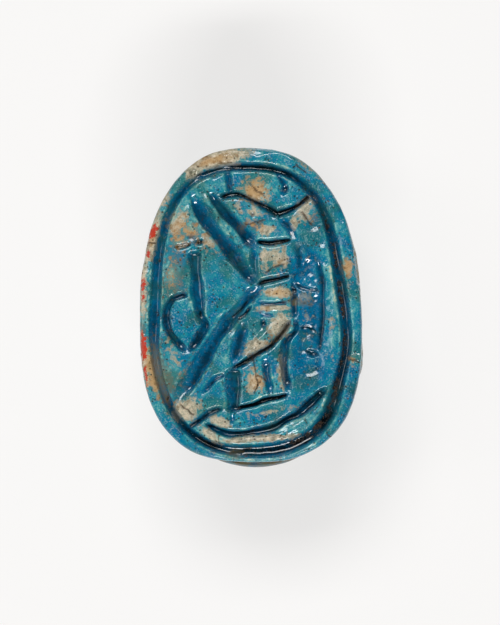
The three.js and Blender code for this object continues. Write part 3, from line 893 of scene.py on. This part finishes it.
def paint_masks(scarab):
    """Stores the masks on the mesh, for its material."""
    mesh = scarab.data
    points = np.zeros(3 * len(mesh.vertices), np.float32)
    mesh.vertices.foreach_get("co", points)
    x, y, z = points.reshape(-1, 3).astype(float).T / metre_per_mm
    top = smooth(HEIGHT - 1.0, HEIGHT - 0.75, z)
    face = top > 0
    on_back = back_masks(x, y, z)
    for name, values in face_masks(x[face], y[face]).items():
        total = (1 - top) * on_back.get(name, 0.0)
        total[face] += values * (1.0 if name in CARVED_MASKS else top[face])
        layer = mesh.attributes.new(name, "FLOAT", "POINT")
        layer.data.foreach_set("value", np.clip(total, 0, 2).astype(np.float32))


CRUMBS_PER_SQUARE_MM = 16.0
CRUMB_RADIUS = 0.036


def grain_tree():
    """Scatters crumbs of soil where the soil mask is strong, and adds them to the mesh."""
    tree = bpy.data.node_groups.new("soil crumbs", "GeometryNodeTree")
    sockets = tree.interface
    sockets.new_socket("Geometry", in_out="INPUT", socket_type="NodeSocketGeometry")
    for name in ("Density", "Size"):
        sockets.new_socket(name, in_out="INPUT", socket_type="NodeSocketFloat")
    sockets.new_socket("Material", in_out="INPUT", socket_type="NodeSocketMaterial")
    sockets.new_socket("Geometry", in_out="OUTPUT", socket_type="NodeSocketGeometry")

    def add(kind, links=(), values=(), **settings):
        node = tree.nodes.new(kind)
        for key, value in settings.items():
            setattr(node, key, value)
        for key, value in dict(values).items():
            node.inputs[key].default_value = value
        for key, socket in dict(links).items():
            tree.links.new(socket, node.inputs[key])
        return node

    given = add("NodeGroupInput").outputs
    soil = add("GeometryNodeInputNamedAttribute", values={"Name": "soil"}).outputs["Attribute"]
    strong = add("ShaderNodeMath", {0: soil}, {1: 3.0}, operation="POWER").outputs[0]
    density = add("ShaderNodeMath", {0: strong, 1: given["Density"]}, operation="MULTIPLY").outputs[0]
    ground = {"Mesh": given["Geometry"], "Density": density}
    scatter = add("GeometryNodeDistributePointsOnFaces", ground, {"Seed": 7})
    crumb = add("GeometryNodeMeshIcoSphere", {"Radius": given["Size"]}, {"Subdivisions": 1}).outputs["Mesh"]
    flag = add("GeometryNodeStoreNamedAttribute", {"Geometry": crumb}, {"Name": "crumb", "Value": 1.0})
    spread = {"Min": (0.35, 0.35, 0.3), "Max": (1.1, 1.1, 0.8), "Seed": 3}
    size = add("FunctionNodeRandomValue", values=spread, data_type="FLOAT_VECTOR").outputs["Value"]
    points = {"Points": scatter.outputs["Points"], "Instance": flag.outputs["Geometry"]}
    points.update({"Rotation": scatter.outputs["Rotation"], "Scale": size})
    placed = add("GeometryNodeInstanceOnPoints", points).outputs["Instances"]
    real = add("GeometryNodeRealizeInstances", {"Geometry": placed}).outputs["Geometry"]
    both = add("GeometryNodeJoinGeometry")
    tree.links.new(real, both.inputs["Geometry"])
    tree.links.new(given["Geometry"], both.inputs["Geometry"])
    finish = {"Geometry": both.outputs["Geometry"], "Material": given["Material"]}
    coated = add("GeometryNodeSetMaterial", finish).outputs["Geometry"]
    add("NodeGroupOutput", {"Geometry": coated})
    return tree


def scatter_soil(scarab, material):
    crumbs = scarab.modifiers.new("soil crumbs", "NODES")
    crumbs.node_group = grain_tree()
    density = CRUMBS_PER_SQUARE_MM / metre_per_mm**2
    wanted = {"Density": density, "Size": CRUMB_RADIUS * metre_per_mm, "Material": material}
    for item in crumbs.node_group.interface.items_tree:
        if item.in_out == "INPUT" and item.name in wanted:
            crumbs[item.identifier] = wanted[item.name]
    apply_modifiers(scarab)


# --- Materials --------------------------------------------------------------
def srgb(red, green, blue):
    """A screen colour, as the linear colour that the nodes take."""

    def linear(c):
        c /= 255
        return c / 12.92 if c <= 0.04045 else ((c + 0.055) / 1.055) ** 2.4

    return (linear(red), linear(green), linear(blue), 1.0)


class Field:
    """A number that varies over the surface. Arithmetic on it adds Math nodes."""

    def __init__(self, finish, socket):
        self.finish, self.socket = finish, socket

    def _with(self, operation, a, b, clamp=False):
        return self.finish.add("ShaderNodeMath", {"operation": operation, "use_clamp": clamp}, {0: a, 1: b})

    def __add__(self, other):
        return self._with("ADD", self, other)

    def __sub__(self, other):
        return self._with("SUBTRACT", self, other)

    def __rsub__(self, other):
        return self._with("SUBTRACT", other, self)

    def __mul__(self, other):
        return self._with("MULTIPLY", self, other)

    __radd__ = __add__
    __rmul__ = __mul__

    def clamp(self):
        return self._with("ADD", self, 0.0, clamp=True)

    def most(self, other):
        return self._with("MAXIMUM", self, other)


class Finish:
    """A node material, with one method for adding any node."""

    def __init__(self, name):
        self.material = bpy.data.materials.new(name)
        self.material.use_nodes = True
        self.nodes, self.links = self.material.node_tree.nodes, self.material.node_tree.links
        self.nodes.clear()

    def add(self, kind, settings=None, inputs=None, output=0):
        node = self.nodes.new(kind)
        for key, value in (settings or {}).items():
            if key == "stops":
                self._set_stops(node.color_ramp, value)
            else:
                setattr(node, key, value)
        for key, value in (inputs or {}).items():
            if isinstance(value, Field):
                self.links.new(value.socket, node.inputs[key])
            else:
                node.inputs[key].default_value = value
        return None if output is None else Field(self, node.outputs[output])

    def _set_stops(self, ramp, stops):
        while len(ramp.elements) < len(stops):
            ramp.elements.new(0.5)
        for element, (place, colour) in zip(ramp.elements, stops):
            element.position = place
            element.color = colour

    def millimetres(self):
        place = self.add("ShaderNodeTexCoord", output="Object")
        return self.add("ShaderNodeVectorMath", {"operation": "SCALE"}, {0: place, "Scale": 1 / metre_per_mm})

    def mask(self, name):
        return self.add("ShaderNodeAttribute", {"attribute_name": name}, output="Fac")

    def noise(self, place, size, detail=3.0, rough=0.55):
        inputs = {"Vector": place, "Scale": 1 / size, "Detail": detail, "Roughness": rough}
        return self.add("ShaderNodeTexNoise", {}, inputs)

    def specks(self, place, size):
        """Distance to the nearest of many scattered dots, as a share of their spacing."""
        return self.add("ShaderNodeTexVoronoi", {}, {"Vector": place, "Scale": 1 / size}, output="Distance")

    def step(self, value, start, end):
        """0 at the start, 1 at the end, and smooth between them."""
        settings = {"interpolation_type": "SMOOTHSTEP"}
        return self.add("ShaderNodeMapRange", settings, {"Value": value, "From Min": start, "From Max": end})

    def mix(self, factor, first, second):
        settings = {"data_type": "RGBA", "clamp_factor": True}
        return self.add("ShaderNodeMix", settings, {0: factor, 6: first, 7: second}, output=2)

    def ramp(self, factor, stops):
        return self.add("ShaderNodeValToRGB", {"stops": stops}, {0: factor})


GLAZE_BY_THICKNESS = [
    (0.0, srgb(178, 186, 164)),
    (0.15, srgb(98, 162, 160)),
    (0.32, srgb(28, 130, 144)),
    (0.52, srgb(0, 112, 140)),
    (0.7, srgb(0, 98, 138)),
    (0.88, srgb(0, 74, 106)),
    (1.0, srgb(0, 46, 68)),
]


class GlazedStone(Finish):
    """Copper-blue glaze on pale stone: deep where it ran together in the cuts, thin and
    worn on the high places, with pinholes, stains, soil and traces of red paint, and
    with painted shade in the cuts and painted highlights on edges and the rim."""

    def __init__(self):
        super().__init__("glazed_stone")
        self.place = self.millimetres()
        self.broad = self.noise(self.place, 2.4, 4.0)
        self.mid = self.noise(self.place, 0.8, 5.0, 0.62)
        self.fine = self.noise(self.place, 0.26, 4.0, 0.68)
        self.grain = self.noise(self.place, 0.08, 3.0, 0.6)
        self.pool, self.edge = self.mask("pool"), self.mask("edge")
        self.bare, self.ochre = self.lost_glaze()
        self.pinhole = self.dots(0.26, (0.24, 0.12), 1.1, (0.4, 0.52))
        self.soil = self.soil_layer()
        self.crumb = self.mask("crumb")
        self.crack = (self.mask("crack") * (0.4 + self.fine)).clamp()
        self.paint = self.paint_layer()
        self.finish_surface()

    def lost_glaze(self):
        """Where bare stone shows, and where it is stained."""
        bare_edge = self.mask("bare") + 1.2 * (self.mid - 0.5) + 1.6 * (self.fine - 0.5)
        ochre_edge = self.mask("ochre") + 1.3 * (self.fine - 0.5) + 1.0 * (self.mid - 0.5)
        return self.step(bare_edge, 0.34, 0.66) * (1 - self.pool * 0.9), self.step(ochre_edge, 0.3, 0.85)

    def dots(self, size, reach, crowd, share):
        """Dots that gather in crowds and keep out of the pools of glaze."""
        dot = self.step(self.specks(self.place, size), *reach)
        return dot * self.step(self.noise(self.place, crowd), *share) * (1 - 0.8 * self.pool)

    def soil_layer(self):
        dirt = self.mask("soil")
        ragged = dirt + 2.2 * (self.fine - 0.5) + 2.2 * (self.mid - 0.5)
        return self.step(ragged, 0.85, 1.05) * self.step(dirt, 0.1, 0.4)

    def paint_layer(self):
        red = self.mask("red")
        ragged = red + 2.6 * (self.fine - 0.5) + 1.6 * (self.grain - 0.5)
        return self.step(ragged, 0.55, 0.68) * self.step(red, 0.1, 0.3)

    def glaze_colour(self):
        ink = self.mask("ink")
        mottle = 1.1 * (self.mid - 0.5) + 0.8 * (self.broad - 0.5) + 1.1 * (self.fine - 0.5)
        # Thinner glaze on the edges, partly a painted highlight; thicker on the deep patches, one of them a
        # painted shade.
        thickness = 0.42 + 0.48 * self.pool - 0.22 * self.edge * (self.mid + 0.5) + 0.3 * self.mask("deep")
        thickness = thickness + mottle * (1 - 0.55 * self.pool)
        glaze = self.ramp(thickness.clamp(), GLAZE_BY_THICKNESS)
        green = self.step(self.noise(self.place, 1.5, 3.0), 0.48, 0.62) * (1 - self.pool * 0.3) * 0.6
        glaze = self.mix(green.clamp(), glaze, srgb(30, 90, 84))
        speckle = self.step(self.grain + 0.8 * (self.fine - 0.5), 0.55, 0.68)
        glaze = self.mix((speckle * (0.42 - 0.4 * self.pool)).clamp(), glaze, srgb(150, 188, 184))
        # Near black where the cuts hold dark glaze and painted shade.
        return self.mix((1.35 * ink + 1.2 * ink * (self.fine - 0.5)).clamp(), glaze, srgb(0, 5, 9))

    def stone_colour(self):
        stone = self.mix(self.step(self.fine, 0.4, 0.6), srgb(204, 186, 158), srgb(160, 160, 138))
        stone = self.mix(self.step(self.grain, 0.46, 0.36) * 0.5, stone, srgb(104, 90, 64))
        return self.mix(self.ochre * 0.8, stone, srgb(180, 136, 76))

    def worn_colour(self):
        """Glaze and stone, with stains and grime where the glaze is thin."""
        bare, ochre = self.bare, self.ochre
        colour = self.mix((bare * 0.9).clamp(), self.glaze_colour(), self.stone_colour())
        colour = self.mix((ochre * (1 - bare) * 0.45).clamp(), colour, srgb(116, 106, 66))
        grime = self.edge * self.step(self.fine + 0.7 * (self.mid - 0.5), 0.5, 0.6)
        colour = self.mix((grime * 0.6).clamp(), colour, srgb(62, 60, 36))
        pitted = self.step(self.grain + 0.9 * (self.fine - 0.5), 0.56, 0.64) * (bare + ochre).clamp()
        return self.mix((pitted * 0.5).clamp(), colour, srgb(104, 68, 36))

    def dirty_colour(self):
        """The worn surface under pinholes, soil, cracks and paint."""
        rust = self.dots(0.5, (0.16, 0.07), 1.6, (0.5, 0.6))
        colour = self.mix(rust * 0.8, self.worn_colour(), srgb(96, 60, 34))
        colour = self.mix(self.pinhole * 0.85, colour, srgb(34, 28, 20))
        earth = self.mix(self.step(self.grain, 0.54, 0.64), srgb(18, 16, 16), srgb(92, 66, 38))
        colour = self.mix(self.soil * 0.9, colour, earth)
        lump = self.mix(self.step(self.fine, 0.42, 0.58), srgb(96, 68, 42), srgb(22, 20, 18))
        colour = self.mix(self.crumb, colour, lump)
        colour = self.mix(self.crack * 0.9, colour, srgb(52, 32, 18))
        return self.mix(self.paint * 0.92, colour, srgb(182, 36, 14))

    def unevenness(self):
        texture = (0.8 * self.fine + 0.35 * self.grain) * (1 - 0.5 * self.pool)
        height = texture - 0.9 * self.pinhole - 0.8 * self.crack + 0.6 * self.soil * self.grain
        inputs = {"Height": height, "Distance": 0.07 * metre_per_mm, "Strength": 0.7}
        return self.add("ShaderNodeBump", {}, inputs)

    def finish_surface(self):
        dull = (self.bare * 0.7).most(self.soil).most(self.crumb).most(self.paint * 0.7)
        dull = dull.most(self.pinhole).most(self.crack)
        rough = 0.22 + 0.45 * dull + 0.4 * (self.fine - 0.5) + 0.3 * (self.grain - 0.5) - 0.12 * self.pool
        inputs = {
            "Base Color": self.dirty_colour(),
            "Roughness": rough.clamp(),
            "Normal": self.unevenness(),
            "IOR": 1.45,
            "Specular IOR Level": 0.2,
            "Coat Weight": (0.8 - 0.8 * dull).clamp(),
            "Coat Roughness": 0.07,
            "Coat IOR": 1.55,
        }
        surface = self.add("ShaderNodeBsdfPrincipled", {}, inputs)
        self.add("ShaderNodeOutputMaterial", {}, {"Surface": surface}, output=None)


def pale_floor():
    """Matt pale card that glows a little, so that the shadow on it stays light."""
    f = Finish("pale_floor")
    inputs = {
        "Base Color": srgb(150, 149, 148),
        "Roughness": 0.9,
        "Emission Color": srgb(252, 251, 250),
        "Emission Strength": 0.6,
    }
    surface = f.add("ShaderNodeBsdfPrincipled", {}, inputs)
    f.add("ShaderNodeOutputMaterial", {}, {"Surface": surface}, output=None)
    return f.material


# --- Studio -----------------------------------------------------------------
def make_floor():
    bpy.ops.mesh.primitive_plane_add(size=2.0)
    floor = bpy.context.object
    floor.name = "floor"
    floor.data.materials.append(pale_floor())


def area_light(name, place, size, power, aim=(0, 0, 0.006)):
    lamp = bpy.data.lights.new(name, "AREA")
    lamp.shape = "RECTANGLE"
    lamp.size, lamp.size_y = size
    lamp.energy = power
    obj = bpy.data.objects.new(name, lamp)
    bpy.context.scene.collection.objects.link(obj)
    obj.location = place
    obj.rotation_mode = "QUATERNION"
    obj.rotation_quaternion = (Vector(aim) - Vector(place)).to_track_quat("-Z", "Y")


def make_studio():
    scene = bpy.context.scene
    world = bpy.data.worlds.new("studio")
    world.use_nodes = True
    world.node_tree.nodes["Background"].inputs["Color"].default_value = (0.96, 0.98, 1.0, 1)
    world.node_tree.nodes["Background"].inputs["Strength"].default_value = 0.02
    scene.world = world
    area_light("upper_box", (-0.05, 0.25, 0.32), (0.26, 0.14), 1.25)
    area_light("lower_strip", (0.03, -0.31, 0.27), (0.26, 0.045), 1.35)
    area_light("left", (-0.30, 0.02, 0.30), (0.1, 0.2), 0.2)
    scene.view_settings.view_transform = "Standard"


def make_camera():
    """A long lens almost straight above, turned a little to the right and down."""
    data = bpy.data.cameras.new("camera")
    data.lens = 150
    camera = bpy.data.objects.new("camera", data)
    bpy.context.scene.collection.objects.link(camera)
    view_height = 33.65 * metre_per_mm
    distance = view_height * data.lens / data.sensor_width
    right, down = math.radians(3.0), math.radians(2.0)
    back = Vector((math.sin(right), -math.sin(down), 1)).normalized()
    aim = Vector((-0.05 * metre_per_mm, -0.26 * metre_per_mm, HEIGHT * metre_per_mm))
    camera.location = aim + back * distance
    side = Vector((0, 1, 0)).cross(back).normalized()
    upwards = back.cross(side)
    camera.rotation_mode = "QUATERNION"
    camera.rotation_quaternion = Matrix((side, upwards, back)).transposed().to_quaternion()
    data.clip_start = 0.01
    bpy.context.scene.camera = camera


scarab = make_scarab()
drill_string_hole(scarab)
paint_masks(scarab)
scarab.data.materials.clear()
scatter_soil(scarab, GlazedStone().material)
for polygon in scarab.data.polygons:
    polygon.use_smooth = True
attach(scarab, "root")
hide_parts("scarab")

make_floor()
make_studio()
make_camera()
